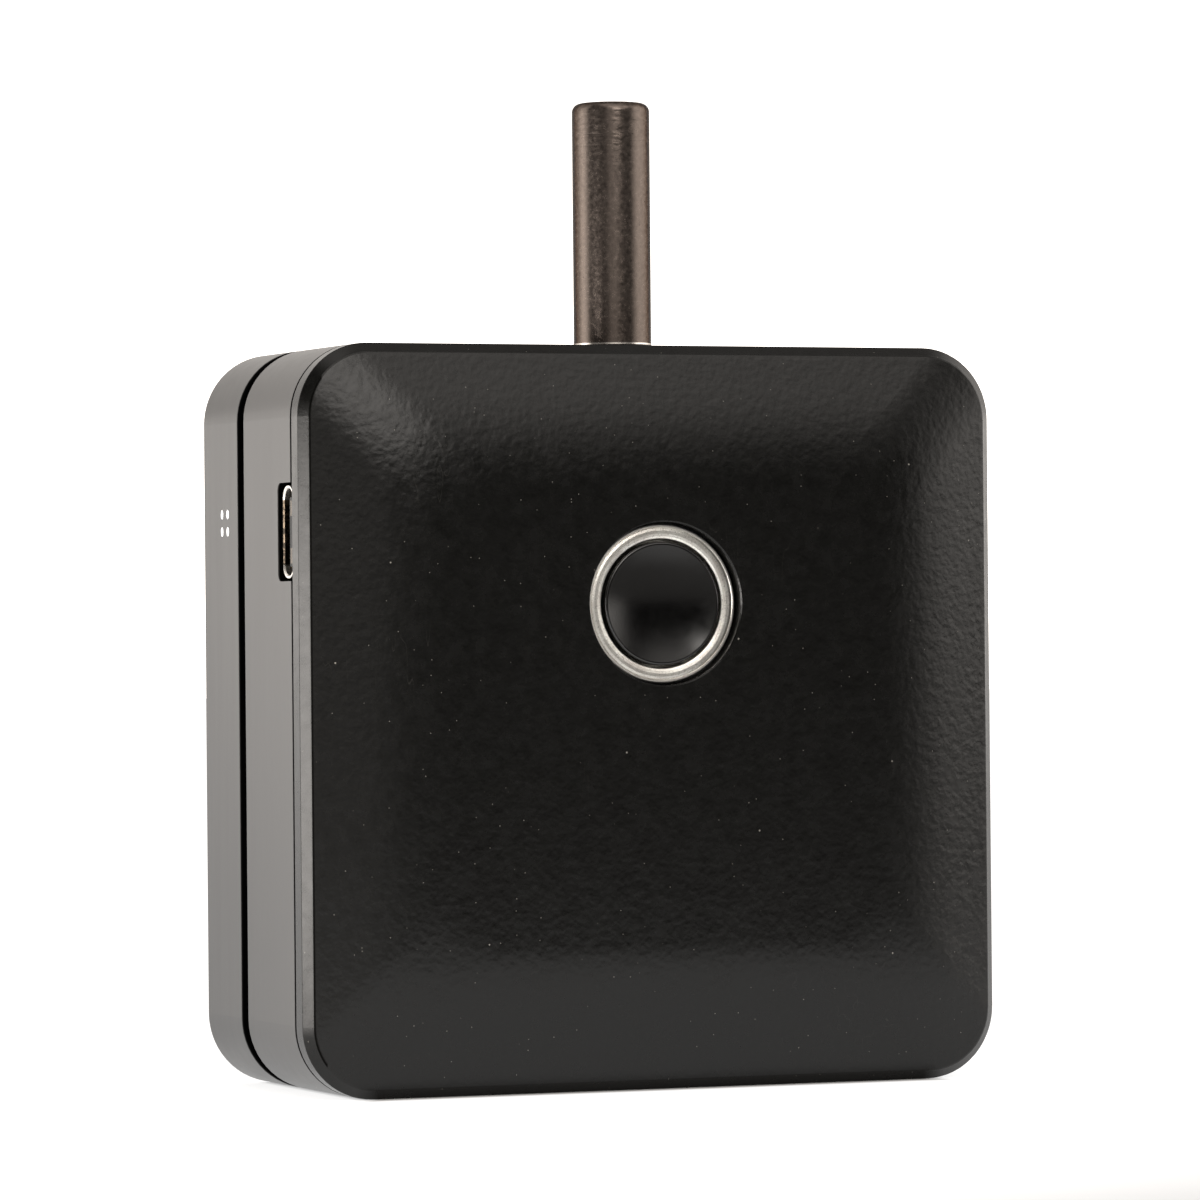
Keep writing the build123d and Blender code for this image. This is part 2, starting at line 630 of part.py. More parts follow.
with BuildPart() as battery_socket:
    with BuildSketch(face_at(Y_BOARD_BACK, SOCKET_Z)):
        with Locations((SOCKET_X, 0)):
            Rectangle(6.0, 4.4)
    extrude(amount=-4.2)
    with BuildSketch(face_at(Y_BOARD_BACK + 4.2, SOCKET_Z)):
        with Locations((SOCKET_X, 0)):
            Rectangle(4.8, 3.2)
    extrude(amount=3.4, mode=Mode.SUBTRACT)
save(battery_socket.part, "battery_socket", (0.85, 0.83, 0.75))

Y_PLUG = Y_BOARD_BACK + 5.2
with BuildPart() as battery_plug:
    with BuildSketch(face_at(Y_PLUG, SOCKET_Z)):
        with Locations((SOCKET_X, 0)):
            Rectangle(4.6, 3.0)
    extrude(amount=4.3)
save(battery_plug.part, "battery_plug", (0.9, 0.9, 0.85))


def battery_wire(name, x_plug, x_cell, colour):
    """One insulated wire from the cell's lower edge to the plug."""
    x_mid = (x_plug + x_cell) / 2
    with BuildPart() as wire:
        with BuildLine() as path:
            Spline((x_cell, 9.4, CELL_Z - 24), (x_mid, 7.2, 10.3), (x_plug, 3.2, 11.2),
                   (x_plug, Y_PLUG, SOCKET_Z), tangents=[(0, 0, -1), (0, -1, 0)])
        with BuildSketch(Plane(origin=path.line @ 0, z_dir=path.line % 0)):
            Circle(0.5)
        sweep()
    save(wire.part, name, colour)


battery_wire("battery_lead_red", SOCKET_X - 0.9, SOCKET_X + 1.8, (0.7, 0.05, 0.04))
battery_wire("battery_lead_black", SOCKET_X + 0.9, SOCKET_X + 4.2, (0.05, 0.05, 0.05))


# --------------------------------------------------------------- light points
X_PIPES = -WIDTH / 2 + WALL      # inside of the wall
X_LEDS = X_PIPES + 1.1
X_LED_BOARD = X_LEDS + 0.8
with BuildPart() as light_pipes:
    with BuildSketch(side_at(-WIDTH / 2, DOT_Y, DOT_Z, 1)):
        with GridLocations(DOT_PITCH, DOT_PITCH, 2, 2):
            Ellipse(DOT_TALL, DOT_WIDE)
    extrude(amount=WALL)
    with BuildSketch(side_at(X_PIPES, DOT_Y, DOT_Z, 1)):
        RectangleRounded(3.6, 3.6, 0.5)
    extrude(amount=1.1)
save(light_pipes.part, "light_pipes", (0.95, 0.95, 0.95))

with BuildPart() as status_leds:
    with BuildSketch(side_at(X_LEDS, DOT_Y, DOT_Z, 1)):
        with GridLocations(DOT_PITCH, DOT_PITCH, 2, 2):
            Rectangle(1.0, 1.0)
    extrude(amount=0.8)
save(status_leds.part, "status_leds", (0.95, 0.95, 0.9))

with BuildPart() as led_board:
    with BuildSketch(side_at(X_LED_BOARD, DOT_Y, DOT_Z, 1)):
        RectangleRounded(8.8, 7.6, 0.6)
    extrude(amount=1.0)
save(led_board.part, "led_board", (0.02, 0.16, 0.10))

with BuildPart() as ribbon_sockets:
    with BuildSketch(side_at(X_LED_BOARD + 1.0, DOT_Y - 2.0, DOT_Z, 1)):
        Rectangle(6.0, 2.2)
    extrude(amount=1.0)
    with BuildSketch(face_at(Y_BOARD_BACK, DOT_Z)):
        with Locations((-24.0, 0)):
            Rectangle(2.6, 6.0)
    extrude(amount=-1.1)
save(ribbon_sockets.part, "ribbon_sockets", (0.9, 0.88, 0.8))

with BuildPart() as led_ribbon:
    with BuildLine() as ribbon_path:
        Spline((X_LED_BOARD + 2.0, DOT_Y - 2.0, DOT_Z), (-28.2, 2.8, DOT_Z), (-27.0, -2.2, DOT_Z),
               (-25.3, -4.85, DOT_Z), tangents=[(1, -0.2, 0), (1, -0.2, 0)])
    with BuildSketch(Plane(origin=ribbon_path.line @ 0, x_dir=(0, 0, 1),
                           z_dir=ribbon_path.line % 0)):
        Rectangle(4.0, 0.15)
    sweep()
save(led_ribbon.part, "led_ribbon", (0.75, 0.45, 0.15))


# --------------------------------------------------------------- probe header
with BuildPart() as input_header_shroud:
    with BuildSketch(side_at(HEADER_X, HEADER_Y, MID_Z, -1)):
        Rectangle(HEADER_L, HEADER_T)
    extrude(amount=8.0)
    with BuildSketch(side_at(HEADER_X, HEADER_Y, MID_Z, -1)):
        Rectangle(HEADER_L - 1.8, HEADER_T - 1.8)
    extrude(amount=6.4, mode=Mode.SUBTRACT)
    with BuildSketch(side_at(HEADER_X, HEADER_Y - HEADER_T / 2, MID_Z, -1)):
        Rectangle(3.6, 3.0)
    extrude(amount=5.0, mode=Mode.SUBTRACT)
    with BuildSketch(side_at(HEADER_X - 6.0, HEADER_Y, MID_Z, -1)):
        with GridLocations(PIN_PITCH, PIN_PITCH, PIN_COUNT, 2):
            Rectangle(0.5, 0.5)
    extrude(amount=2.4, mode=Mode.SUBTRACT)
save(input_header_shroud.part, "input_header_shroud", (0.05, 0.05, 0.05))

with BuildPart() as input_header_pins:
    for row, x_bend in ((-PIN_PITCH / 2, 26.8), (PIN_PITCH / 2, 25.2)):
        y_row = HEADER_Y + row
        for i in range(PIN_COUNT):
            z_pin = MID_Z + PIN_PITCH * (i - (PIN_COUNT - 1) / 2)
            with BuildSketch(Plane.XY.offset(z_pin - 0.25)):
                with BuildLine():
                    Polyline((35.0, y_row - 0.25), (35.0, y_row + 0.25), (x_bend, y_row + 0.25),
                             (x_bend, Y_BOARD_BACK), (x_bend + 0.5, Y_BOARD_BACK),
                             (x_bend + 0.5, y_row - 0.25), close=True)
                make_face()
            extrude(amount=0.5)
save(input_header_pins.part, "input_header_pins", (0.78, 0.66, 0.35))
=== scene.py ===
import json
from math import cos, pi, radians, sin

import bpy
from mathutils import Matrix, Vector


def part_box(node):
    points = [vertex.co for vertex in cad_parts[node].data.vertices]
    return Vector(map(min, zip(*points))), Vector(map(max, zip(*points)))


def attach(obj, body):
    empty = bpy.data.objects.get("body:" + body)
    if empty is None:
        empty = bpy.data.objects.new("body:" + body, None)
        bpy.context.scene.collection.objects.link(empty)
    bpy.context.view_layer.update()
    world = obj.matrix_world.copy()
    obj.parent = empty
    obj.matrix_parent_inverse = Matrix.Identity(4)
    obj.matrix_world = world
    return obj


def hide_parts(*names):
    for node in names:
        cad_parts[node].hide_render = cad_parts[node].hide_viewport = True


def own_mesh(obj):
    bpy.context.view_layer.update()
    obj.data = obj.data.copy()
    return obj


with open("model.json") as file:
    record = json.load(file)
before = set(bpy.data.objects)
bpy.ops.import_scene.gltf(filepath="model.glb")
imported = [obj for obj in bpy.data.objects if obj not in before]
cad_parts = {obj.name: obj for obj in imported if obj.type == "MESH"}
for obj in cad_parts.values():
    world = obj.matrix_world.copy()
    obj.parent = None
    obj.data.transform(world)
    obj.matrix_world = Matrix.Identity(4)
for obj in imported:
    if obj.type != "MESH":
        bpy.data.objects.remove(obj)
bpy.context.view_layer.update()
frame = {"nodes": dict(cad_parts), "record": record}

scene = bpy.context.scene
scene.view_settings.view_transform = "Standard"
scene.view_settings.look = "None"

MM = 0.001
WHITE = (1.0, 1.0, 1.0)
EDGE_SOFTNESS = 0.02 * MM      # how far the edge of a painted band fades to each side


# ------------------------------------------------------------------ node help
def new_material(name):
    """A material with its tree and its one shader."""
    material = bpy.data.materials.new(name)
    material.use_nodes = True
    tree = material.node_tree
    shader = tree.nodes["Principled BSDF"]
    return material, tree, shader


def add(tree, kind, **settings):
    """A node with its settings; a dictionary under 'inputs' fills its sockets."""
    node = tree.nodes.new(kind)
    inputs = settings.pop("inputs", {})
    for key, value in settings.items():
        setattr(node, key, value)
    for key, value in inputs.items():
        if isinstance(value, bpy.types.NodeSocket):
            tree.links.new(value, node.inputs[key])
        else:
            node.inputs[key].default_value = value
    return node


def place(tree):
    """Where a point of the surface is on the object, in metres."""
    return add(tree, "ShaderNodeTexCoord").outputs["Object"]


def noise(tree, size_mm, detail=3.0, rough=0.5, twist=0.0, vector=None):
    """Soft noise with features of a size in millimetres."""
    node = add(tree, "ShaderNodeTexNoise", inputs={
        "Vector": vector or place(tree), "Scale": 1.0 / (size_mm * MM),
        "Detail": detail, "Roughness": rough, "Distortion": twist})
    return node.outputs["Fac"]


def stretched(tree, sizes):
    """Coordinates scaled per axis, for grain that runs one way."""
    return add(tree, "ShaderNodeMapping", inputs={"Vector": place(tree), "Scale": sizes}).outputs["Vector"]


def remap(tree, value, low, high, to_low, to_high):
    """A value moved from one range to another, and clamped there."""
    return add(tree, "ShaderNodeMapRange", clamp=True, inputs={
        "Value": value, "From Min": low, "From Max": high,
        "To Min": to_low, "To Max": to_high}).outputs["Result"]


def calc(tree, operation, first, second):
    """One step of arithmetic."""
    return add(tree, "ShaderNodeMath", operation=operation, inputs={0: first, 1: second}).outputs[0]


def blend_colour(tree, factor, first, second):
    """The first colour where the factor is zero, the second where it is one."""
    node = add(tree, "ShaderNodeMix", data_type="RGBA")
    for socket, value in ((node.inputs["Factor"], factor), (node.inputs[6], first), (node.inputs[7], second)):
        if isinstance(value, bpy.types.NodeSocket):
            tree.links.new(value, socket)
        elif isinstance(value, (int, float)):
            socket.default_value = value
        else:
            socket.default_value = (*value, 1.0)
    return node.outputs[2]


def bump(tree, height, depth_mm, before=None):
    """Relief of a depth in millimetres, on top of an earlier one."""
    node = add(tree, "ShaderNodeBump", inputs={
        "Strength": 1.0, "Distance": depth_mm * MM, "Height": height})
    if before is not None:
        tree.links.new(before, node.inputs["Normal"])
    return node.outputs["Normal"]


def specks(tree, cell_mm, radius, share):
    """Sparse dots: one in each cell of a size, kept in a share of the cells."""
    cells = add(tree, "ShaderNodeTexVoronoi", inputs={
        "Vector": place(tree), "Scale": 1.0 / (cell_mm * MM), "Randomness": 1.0})
    near = remap(tree, cells.outputs["Distance"], radius * 0.6, radius, 1.0, 0.0)
    pick = add(tree, "ShaderNodeSeparateColor", inputs={"Color": cells.outputs["Color"]})
    chosen = remap(tree, pick.outputs["Red"], share, share * 1.02, 1.0, 0.0)
    return calc(tree, "MULTIPLY", near, chosen)


def where(tree):
    """The x, y and z of a point of the surface, in metres."""
    return add(tree, "ShaderNodeSeparateXYZ", inputs={"Vector": place(tree)}).outputs


def band(tree, value, low, high):
    """One between two limits and zero outside, with a soft edge."""
    rise = remap(tree, value, low - EDGE_SOFTNESS, low + EDGE_SOFTNESS, 0.0, 1.0)
    fall = remap(tree, value, high - EDGE_SOFTNESS, high + EDGE_SOFTNESS, 1.0, 0.0)
    return calc(tree, "MULTIPLY", rise, fall)


# ------------------------------------------------------------------ materials
def paint(name, base, rough, peel_mm, peel_depth, dust, shine):
    """Powder coat: soft orange peel, a little dust, a few hair scratches and a fine line of painted shade on
    the skirt's left side.
    """
    material, tree, shader = new_material(name)
    fine = noise(tree, 0.30, 3.0)
    shade = blend_colour(tree, remap(tree, fine, 0.3, 0.7, 0.0, 1.0),
                         [c * 0.75 for c in base], [c * 1.35 for c in base])
    big = specks(tree, 2.4, 0.045, dust)
    small = specks(tree, 0.85, 0.075, dust * 1.8)
    across = noise(tree, 1.0, 2.0, vector=stretched(tree, (0.30, 1.0, 0.05)))
    from_middle = calc(tree, "ABSOLUTE", calc(tree, "SUBTRACT", across, 0.5), 0.0)
    scratch = remap(tree, from_middle, 0.0, 0.0022, 1.0, 0.0)
    patch = remap(tree, noise(tree, 16.0, 1.0), 0.60, 0.68, 0.0, 0.5)
    scratch = calc(tree, "MULTIPLY", scratch, patch)
    dots = calc(tree, "MAXIMUM", calc(tree, "MAXIMUM", big, calc(tree, "MULTIPLY", small, 0.7)),
                calc(tree, "MULTIPLY", scratch, 0.12))
    shade = blend_colour(tree, dots, shade, (0.20, 0.19, 0.17))
    tree.links.new(shade, shader.inputs["Base Color"])
    gloss = remap(tree, noise(tree, 1.3, 3.0), 0.3, 0.7, rough - 0.03, rough + 0.04)
    tree.links.new(gloss, shader.inputs["Roughness"])
    at = where(tree)
    cover_left, cover_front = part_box("front_cover")[0][:2]
    on_face = remap(tree, at["Y"], cover_front + 2.95 * MM, cover_front + 2.65 * MM, 0.0, 1.0)
    coarse = calc(tree, "MULTIPLY", noise(tree, peel_mm, 1.0, 0.4), on_face)
    peel = bump(tree, coarse, peel_depth)
    peel = bump(tree, noise(tree, peel_mm * 0.38, 1.0), peel_depth * 0.12, peel)
    grain = bump(tree, noise(tree, 0.10, 2.0), 0.002, peel)
    tree.links.new(grain, shader.inputs["Normal"])
    shader.inputs["Specular IOR Level"].default_value = shine
    # Painted shade: a thin dark line on the left of the skirt, where the specular is tinted near black.
    painted_shade_line = calc(tree, "MULTIPLY",
                band(tree, at["Y"], cover_front + 2.75 * MM, cover_front + 2.85 * MM),
                band(tree, at["X"], cover_left - 1.0 * MM, cover_left + 2.2 * MM))
    tree.links.new(blend_colour(tree, painted_shade_line, WHITE, (0.05, 0.05, 0.05)), shader.inputs["Specular Tint"])
    return material


def smooth_paint(name, base, rough):
    """Smooth powder coat: faint upright streaks, sparse dust, and painted shade: near black in the groove,
    the joint and the port slot, and darker toward the rear.
    """
    material, tree, shader = new_material(name)
    streak = noise(tree, 1.0, 3.0, 0.6, vector=stretched(tree, (0.9, 0.75, 0.03)))
    shade = blend_colour(tree, remap(tree, streak, 0.3, 0.7, 0.0, 1.0),
                         [c * 0.86 for c in base], [c * 1.16 for c in base])
    shade = blend_colour(tree, specks(tree, 2.2, 0.05, 0.06), shade, (0.30, 0.29, 0.27))
    at = where(tree)
    (left, seam, _), (_, frame_back, _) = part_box("mid_frame")
    gasket_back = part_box("parting_gasket")[1][1]
    port_low, port_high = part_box("usb_shell")
    # Painted shade in the groove, the joint and around the port slot: base colour and specular tint go near
    # black there.
    groove = band(tree, at["Y"], frame_back - 0.14 * MM, gasket_back + 0.10 * MM)
    joint = band(tree, at["Y"], seam - 0.05 * MM, seam + 0.41 * MM)
    port = calc(tree, "MULTIPLY", band(tree, at["X"], left + 0.12 * MM, left + 6.0 * MM),
                band(tree, at["Z"], port_low[2] - 0.5 * MM, port_high[2] + 0.5 * MM))
    port = calc(tree, "MULTIPLY", port, band(tree, at["Y"], seam - 0.1 * MM, port_high[1] + 0.6 * MM))
    recess_painted_shade = calc(tree, "MAXIMUM", calc(tree, "MAXIMUM", groove, joint), port)
    # Painted shade: the walls darken toward the rear.
    painted_shade_toward_rear = remap(tree, at["Y"], -11.0 * MM, 16.0 * MM, 0.0, 0.8)
    shade = blend_colour(tree, painted_shade_toward_rear, shade, (0.002, 0.002, 0.002))
    shade = blend_colour(tree, recess_painted_shade, shade, (0.0008, 0.0008, 0.0008))
    tree.links.new(shade, shader.inputs["Base Color"])
    tree.links.new(blend_colour(tree, recess_painted_shade, WHITE, (0.02, 0.02, 0.02)), shader.inputs["Specular Tint"])
    gloss = remap(tree, streak, 0.3, 0.7, rough - 0.015, rough + 0.015)
    tree.links.new(gloss, shader.inputs["Roughness"])
    soft = bump(tree, noise(tree, 0.9, 2.0), 0.0025)
    lines = bump(tree, streak, 0.0006, soft)
    tree.links.new(lines, shader.inputs["Normal"])
    return material


def metal(name, base, rough, grain_mm, depth, spread=0.06):
    """Bare or plated metal with a fine blasted grain."""
    material, tree, shader = new_material(name)
    cloud = noise(tree, grain_mm * 9, 3.0)
    shade = blend_colour(tree, remap(tree, cloud, 0.3, 0.7, 0.0, 1.0),
                         [c * 0.88 for c in base], [min(c * 1.08, 1.0) for c in base])
    tree.links.new(shade, shader.inputs["Base Color"])
    shader.inputs["Metallic"].default_value = 1.0
    gloss = remap(tree, noise(tree, grain_mm * 2.5, 3.0), 0.3, 0.7, rough - spread, rough + spread)
    tree.links.new(gloss, shader.inputs["Roughness"])
    tree.links.new(bump(tree, noise(tree, grain_mm, 3.0), depth), shader.inputs["Normal"])
    return material


def plastic(name, base, rough, grain_mm=0.25, depth=0.006, spread=0.05, shine=0.5):
    """Moulded plastic or rubber with a fine skin."""
    material, tree, shader = new_material(name)
    cloud = noise(tree, 3.0, 3.0)
    shade = blend_colour(tree, remap(tree, cloud, 0.3, 0.7, 0.0, 1.0),
                         [c * 0.85 for c in base], [min(c * 1.12, 1.0) for c in base])
    tree.links.new(shade, shader.inputs["Base Color"])
    gloss = remap(tree, noise(tree, 0.8, 3.0), 0.3, 0.7, rough - spread, rough + spread)
    tree.links.new(gloss, shader.inputs["Roughness"])
    tree.links.new(bump(tree, noise(tree, grain_mm, 3.0), depth), shader.inputs["Normal"])
    shader.inputs["Specular IOR Level"].default_value = shine
    return material


def from_axis(tree, node_name):
    """Distance from the front-to-back axis through the middle of a round piece."""
    low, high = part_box(node_name)
    at = where(tree)
    x = calc(tree, "SUBTRACT", at["X"], (low[0] + high[0]) / 2)
    z = calc(tree, "SUBTRACT", at["Z"], (low[2] + high[2]) / 2)
    squares = calc(tree, "ADD", calc(tree, "MULTIPLY", x, x), calc(tree, "MULTIPLY", z, z))
    return calc(tree, "SQRT", squares, 0.0)


def turned_nickel(name, base, rough):
    """Satin nickel ring: turning lines, fine pits, a polished lip at the rim."""
    material, tree, shader = new_material(name)
    radius = from_axis(tree, "button_ring")
    low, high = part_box("button_ring")
    rim = (high[0] - low[0]) / 2         # largest radius of the ring
    outward = add(tree, "ShaderNodeCombineXYZ", inputs={"X": radius}).outputs[0]
    lines = noise(tree, 0.09, 2.0, vector=outward)
    pits = noise(tree, 0.16, 4.0, 0.65)
    hollow = remap(tree, pits, 0.36, 0.46, 1.0, 0.0)
    cloud = noise(tree, 1.6, 3.0)
    shade = blend_colour(tree, remap(tree, cloud, 0.35, 0.65, 0.0, 1.0),
                         [c * 0.80 for c in base], [min(c * 1.12, 1.0) for c in base])
    shade = blend_colour(tree, remap(tree, lines, 0.35, 0.65, 0.0, 0.35), shade, [c * 0.55 for c in base])
    shade = blend_colour(tree, calc(tree, "MULTIPLY", hollow, 0.6), shade, [c * 0.30 for c in base])
    lip = remap(tree, radius, rim - 0.34 * MM, rim - 0.28 * MM, 0.0, 1.0)
    shade = blend_colour(tree, lip, shade, (0.88, 0.86, 0.82))
    tree.links.new(shade, shader.inputs["Base Color"])
    shader.inputs["Metallic"].default_value = 1.0
    gloss = remap(tree, pits, 0.3, 0.7, rough + 0.08, rough - 0.04)
    tree.links.new(gloss, shader.inputs["Roughness"])
    cut = bump(tree, lines, 0.004)
    rough_skin = bump(tree, pits, 0.014, cut)
    tree.links.new(rough_skin, shader.inputs["Normal"])
    return material


def port_steel(name, rough):
    """Stamped steel of the receptacle: a painted highlight on the round ends, painted shade on the long
    sides.
    """
    material, tree, shader = new_material(name)
    low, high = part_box("usb_shell")
    at = where(tree)
    up = calc(tree, "ABSOLUTE", calc(tree, "SUBTRACT", at["Z"], (low[2] + high[2]) / 2), 0.0)
    side = calc(tree, "ABSOLUTE", calc(tree, "SUBTRACT", at["Y"], (low[1] + high[1]) / 2), 0.0)
    stain = noise(tree, 0.45, 3.0)
    # Painted shade: the long sides are dark steel.
    painted_shade_sides = blend_colour(tree, remap(tree, stain, 0.45, 0.60, 0.0, 1.0),
                        (0.018, 0.015, 0.012), (0.11, 0.085, 0.062))
    plate = blend_colour(tree, remap(tree, stain, 0.4, 0.6, 0.0, 1.0),
                         (0.10, 0.085, 0.07), (0.20, 0.17, 0.14))
    painted_shade_sides = blend_colour(tree, remap(tree, side, 0.5 * MM, 0.8 * MM, 1.0, 0.0), painted_shade_sides, plate)
    # Painted highlight: the round ends are bright steel.
    end = remap(tree, calc(tree, "ADD", up, calc(tree, "MULTIPLY", noise(tree, 0.6, 2.0), 0.4 * MM)),
                3.30 * MM, 3.60 * MM, 0.0, 1.0)
    tree.links.new(blend_colour(tree, end, painted_shade_sides, (0.80, 0.77, 0.72)), shader.inputs["Base Color"])
    shader.inputs["Metallic"].default_value = 1.0
    tree.links.new(remap(tree, stain, 0.3, 0.7, rough - 0.04, rough + 0.08), shader.inputs["Roughness"])
    tree.links.new(bump(tree, noise(tree, 0.12, 3.0), 0.002), shader.inputs["Normal"])
    return material


def gunmetal(name, base, rough):
    """Dark metallic coat of the antenna: mottled grain, pits, wrinkles near the top, a painted highlight at
    the foot.
    """
    material, tree, shader = new_material(name)
    low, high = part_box("antenna_sleeve")
    at = where(tree)
    mottle = noise(tree, 0.42, 4.0, 0.65)
    shade = blend_colour(tree, remap(tree, mottle, 0.35, 0.65, 0.0, 1.0),
                         [c * 0.80 for c in base], [c * 1.20 for c in base])
    pits = specks(tree, 0.75, 0.13, 0.22)
    shade = blend_colour(tree, calc(tree, "MULTIPLY", pits, 0.75), shade, [c * 0.25 for c in base])
    # Painted highlight: a thin bright band at the foot of the antenna.
    painted_highlight_foot = remap(tree, at["Z"], low[2] + 0.16 * MM, low[2] + 0.24 * MM, 1.0, 0.0)
    shade = blend_colour(tree, painted_highlight_foot, shade, (0.75, 0.71, 0.66))
    tree.links.new(shade, shader.inputs["Base Color"])
    shader.inputs["Metallic"].default_value = 0.82
    shader.inputs["Specular IOR Level"].default_value = 0.2
    shader.inputs["Specular Tint"].default_value = (0.12, 0.10, 0.09, 1.0)
    tree.links.new(remap(tree, mottle, 0.3, 0.7, rough - 0.05, rough + 0.07), shader.inputs["Roughness"])
    waves = noise(tree, 1.0, 2.0, 0.5, 1.2, stretched(tree, (0.28, 0.28, 1.0)))
    near_top = remap(tree, at["Z"], high[2] - 8.0 * MM, high[2] - 3.0 * MM, 0.02, 1.0)
    wrinkle = bump(tree, calc(tree, "MULTIPLY", waves, near_top), 0.035)
    skin = bump(tree, mottle, 0.0035, wrinkle)
    tree.links.new(skin, shader.inputs["Normal"])
    return material


finishes = {
    "cover_paint": paint("cover_paint", (0.0024, 0.0024, 0.0021), 0.25, 0.70, 0.034, 0.22, 0.32),
    "frame_paint": smooth_paint("frame_paint", (0.030, 0.0287, 0.0275), 0.34),
    "seal_rubber": plastic("seal_rubber", (0.001, 0.001, 0.001), 0.8, shine=0.02),
    "case_screw_steel": metal("case_screw_steel", (0.07, 0.07, 0.075), 0.38, 0.12, 0.004),
    "ring_nickel": turned_nickel("ring_nickel", (0.94, 0.90, 0.84), 0.31),
    "cap_plastic": plastic("cap_plastic", (0.0006, 0.0006, 0.0006), 0.14, 0.10, 0.0050, 0.03, 0.75),
    "small_steel": metal("small_steel", (0.58, 0.58, 0.60), 0.25, 0.1, 0.002),
    "brass": metal("brass", (0.78, 0.58, 0.30), 0.25, 0.1, 0.002),
    "black_plastic": plastic("black_plastic", (0.018, 0.018, 0.018), 0.45),
    "chip_plastic": plastic("chip_plastic", (0.020, 0.020, 0.021), 0.55, 0.12, 0.006),
    "plunger_plastic": plastic("plunger_plastic", (0.55, 0.46, 0.28), 0.45),
    "usb_steel": port_steel("usb_steel", 0.26),
    "contact_gold": metal("contact_gold", (0.86, 0.62, 0.26), 0.22, 0.1, 0.002),
    "antenna_metal": gunmetal("antenna_metal", (0.112, 0.092, 0.080), 0.22),
    "white_plastic": plastic("white_plastic", (0.78, 0.76, 0.68), 0.45),
    "copper": metal("copper", (0.80, 0.42, 0.25), 0.25, 0.1, 0.002),
    "board_green": plastic("board_green", (0.010, 0.11, 0.055), 0.22, 0.5, 0.004),
    "shield_metal": metal("shield_metal", (0.66, 0.66, 0.65), 0.28, 0.15, 0.003),
    "passive_ceramic": plastic("passive_ceramic", (0.42, 0.33, 0.22), 0.45),
    "cell_foil": metal("cell_foil", (0.68, 0.68, 0.69), 0.35, 0.5, 0.02),
    "foam": plastic("foam", (0.02, 0.02, 0.02), 0.9, 0.4, 0.15),
    "red_wire": plastic("red_wire", (0.50, 0.02, 0.015), 0.40),
    "light_white": plastic("light_white", (0.93, 0.93, 0.92), 0.30),
    "ribbon_amber": plastic("ribbon_amber", (0.50, 0.24, 0.05), 0.30),
}
# Painted glow: the white dots get emission 0.55 so they read bright white.
painted_glow = finishes["light_white"].node_tree.nodes["Principled BSDF"].inputs
painted_glow["Emission Color"].default_value = (*WHITE, 1.0)
painted_glow["Emission Strength"].default_value = 0.55

for part in frame["record"]["subparts"]:
    node = frame["nodes"][part["node"]]
    node.data.materials.clear()
    node.data.materials.append(finishes[part["material_slot"]])


# --------------------------------------------------------------------- spring
def round_wire(name, points, radius, sides=10):
    """Tube of a radius through a row of points."""
    rings, faces = [], []
    for i, point in enumerate(points):
        along = (points[min(i + 1, len(points) - 1)] - points[max(i - 1, 0)]).normalized()
        side = along.cross(Vector((0, 1, 0))).normalized()
        other = along.cross(side)
        rings += [point + (side * cos(2 * pi * k / sides) + other * sin(2 * pi * k / sides)) * radius
                  for k in range(sides)]
    for i in range(len(points) - 1):
        for k in range(sides):
            a, b = i * sides + k, i * sides + (k + 1) % sides
            faces.append((a, b, b + sides, a + sides))
    faces.append(tuple(reversed(range(sides))))
    faces.append(tuple(range(len(rings) - sides, len(rings))))
    mesh = bpy.data.meshes.new(name)
    mesh.from_pydata([tuple(v) for v in rings], [], faces)
    for face in mesh.polygons:
        face.use_smooth = True
    wire = bpy.data.objects.new(name, mesh)
    scene.collection.objects.link(wire)
    return wire


spring_low, spring_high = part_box("button_spring")
wire_r = 0.13 * MM
coil_pitch = 0.6 * MM
steps = 120
coil_r = (spring_high[0] - spring_low[0]) / 2 - wire_r
start, end = spring_low[1] + wire_r, spring_high[1] - wire_r
centre_z = (spring_low[2] + spring_high[2]) / 2
turns = (end - start) / coil_pitch
path = []
for step in range(steps + 1):
    angle = 2 * pi * turns * step / steps
    path.append(Vector((coil_r * cos(angle), start + (end - start) * step / steps,
                        centre_z + coil_r * sin(angle))))
spring = round_wire("spring_wire", path, wire_r)
spring.data.materials.append(finishes["small_steel"])
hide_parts("button_spring")
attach(spring, "housing")
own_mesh(spring)


# --------------------------------------------------------------------- camera
AZIMUTH, ELEVATION, ROLL = radians(-22.2305), radians(-0.3359), radians(-0.51)
FOCAL_LENGTH = 189.722         # on a sensor 36 wide
SENSOR_WIDTH = 36.0
SKIRT_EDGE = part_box("mid_frame")[0][1] - 1.8 * MM        # front edge of the cover's skirt
STAND = (-239.607 * MM, SKIRT_EDGE - 573.025 * MM, 44.329 * MM)
NUDGE = 0.049 * MM             # up and to the left, to centre the object

forward = Vector((-sin(AZIMUTH) * cos(ELEVATION), cos(AZIMUTH) * cos(ELEVATION), -sin(ELEVATION)))
level = forward.cross(Vector((0, 0, 1))).normalized()
over = level.cross(forward)
right = level * cos(ROLL) + over * sin(ROLL)
up = over * cos(ROLL) - level * sin(ROLL)
spot = Vector(STAND) + (up - right) * NUDGE
camera = bpy.data.objects.new("camera", bpy.data.cameras.new("camera"))
scene.collection.objects.link(camera)
camera.data.lens = FOCAL_LENGTH
camera.data.sensor_width = SENSOR_WIDTH
camera.data.clip_start = 0.01
camera.data.clip_end = 50.0
camera.matrix_world = Matrix((
    (right.x, up.x, -forward.x, spot.x),
    (right.y, up.y, -forward.y, spot.y),
    (right.z, up.z, -forward.z, spot.z),
    (0, 0, 0, 1)))
scene.camera = camera


